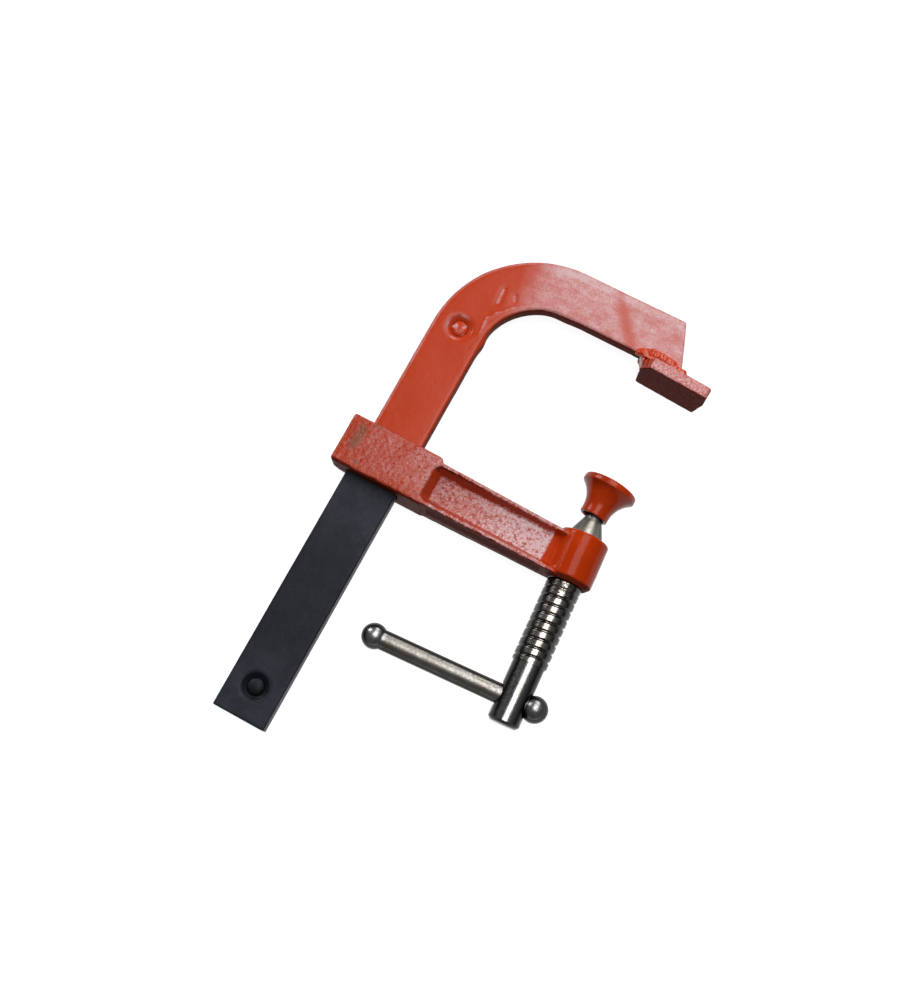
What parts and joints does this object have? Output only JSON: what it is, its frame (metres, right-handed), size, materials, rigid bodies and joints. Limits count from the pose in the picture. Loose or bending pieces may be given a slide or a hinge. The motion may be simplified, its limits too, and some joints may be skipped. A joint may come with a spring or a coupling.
{
  "type": "bar clamp",
  "caption": "Small steel F-shaped bar clamp: bent fixed arm welded to a flat bar, cast sliding arm, clamping screw with swivel pad and sliding cross handle.",
  "frame": {"origin": "middle of the fixed jaw's clamping face, in the middle of the clamp's thickness", "axes": "+X out along the arms, away from the bar; +Y up the bar to the fixed arm; +Z through the clamp's thickness, out of the side with the pin pockets"},
  "size_m": [0.1357, 0.2505, 0.0256],
  "materials": {
    "dark_bar": "satin blue-black",
    "orange_enamel": "glossy enamel over rough stock",
    "orange_casting": "glossy enamel over a rough casting",
    "screw_steel": "bright steel, dark in the thread",
    "plated_steel": "bright zinc plate"
  },
  "bodies": {
    "rail": {"bar": "dark_bar", "fixed_arm": "orange_enamel", "anvil_plate": "orange_enamel", "anvil_weld": "orange_enamel", "lower_stop_pin": "dark_bar", "upper_stop_pin": "orange_enamel"},
    "arm": {"sliding_arm": "orange_casting"},
    "feed_ring": {"pad_snap_ring": "screw_steel"},
    "screw": {"clamp_screw": "screw_steel"},
    "handle": {"tommy_bar": "plated_steel", "tommy_ball_left": "plated_steel", "tommy_ball_right": "plated_steel"},
    "pad": {"swivel_pad": "orange_enamel"}
  },
  "joints": [
    {"name": "arm_slide", "type": "slide", "parent": "rail", "child": "arm", "axis": [0, 1, 0], "range_m": [-0.0975, 0.0235]},
    {"name": "screw_feed", "type": "slide", "parent": "arm", "child": "feed_ring", "axis": [-0.061, 0.9981, 0], "range_m": [-0.00805, 0.02405]},
    {"name": "screw_turn", "type": "hinge", "parent": "feed_ring", "child": "screw", "pos_m": [-0.0036, -0.06319, 0], "axis": [-0.061, 0.9981, 0], "range_deg": [-720, 2160]},
    {"name": "handle_slide", "type": "slide", "parent": "screw", "child": "handle", "axis": [0.9981, 0.061, 0], "range_m": [0, 0.0555]},
    {"name": "pad_tilt", "type": "hinge", "parent": "feed_ring", "child": "pad", "pos_m": [-0.0036, -0.06319, 0], "axis": [0, 0, 1], "range_deg": [-3.5, 16.5]}
  ],
  "couplings": [
    {"joint": "screw_feed", "follows": "screw_turn", "m_per_rad": 0.00063662}
  ]
}
